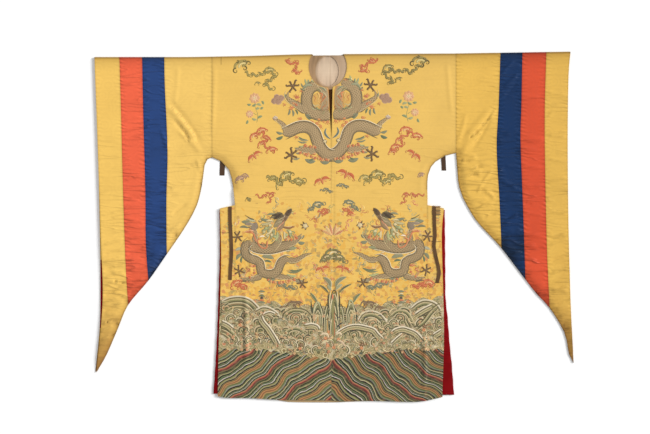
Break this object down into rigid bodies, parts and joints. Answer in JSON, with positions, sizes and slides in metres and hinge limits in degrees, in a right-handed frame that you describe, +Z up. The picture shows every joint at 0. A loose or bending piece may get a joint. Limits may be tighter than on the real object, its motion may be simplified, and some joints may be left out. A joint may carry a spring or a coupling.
{
  "type": "chinese dragon robe",
  "caption": "Yellow silk robe laid flat, with wide banded sleeves that end in points, a round slit neck, side vents and embroidered dragons over a wave and stripe hem.",
  "frame": {"origin": "middle of the robe's outline, on the surface it lies on", "axes": "+X across the robe to the right as seen from above, +Y towards the neck, +Z up, off the surface, through the front"},
  "size_m": [1.748, 1.2795, 0.013],
  "materials": {
    "yellow_silk": "yellow silk damask, soft sheen, embroidered in coloured silks and gold thread",
    "sleeve_yellow_silk": "plain yellow silk damask, soft sheen",
    "cuff_yellow_silk": "yellow silk damask, soft sheen",
    "red_silk": "coral red silk damask, soft sheen",
    "blue_silk": "dark blue silk damask, soft sheen",
    "crimson_silk": "crimson silk, smooth",
    "cream_lining": "cream lining cloth, matt",
    "taupe_facing": "taupe facing cloth, matt",
    "dark_brown_placket": "dark brown cloth, matt",
    "brown_tie": "brown tape, matt",
    "mauve_ribbon": "mauve brown ribbon, matt",
    "beige_lining": "beige lining cloth, matt"
  },
  "bodies": {
    "root": {"body_left": "yellow_silk", "sleeve_left": "sleeve_yellow_silk", "blue_band_left": "blue_silk", "red_band_left": "red_silk", "cuff_left": "cuff_yellow_silk", "side_panel_front_left": "yellow_silk", "side_panel_back_left": "yellow_silk", "side_gusset_left": "crimson_silk", "side_ribbon_left": "mauve_ribbon", "underarm_tie_left": "brown_tie", "body_right": "yellow_silk", "sleeve_right": "sleeve_yellow_silk", "blue_band_right": "blue_silk", "red_band_right": "red_silk", "cuff_right": "cuff_yellow_silk", "side_panel_front_right": "yellow_silk", "side_panel_back_right": "yellow_silk", "side_gusset_right": "crimson_silk", "side_ribbon_right": "mauve_ribbon", "underarm_tie_right": "brown_tie", "neck_facing": "taupe_facing", "neck_lining": "cream_lining", "slit_placket": "dark_brown_placket", "hem_facing": "beige_lining", "mouth_facing_left": "crimson_silk"}
  },
  "joints": []
}
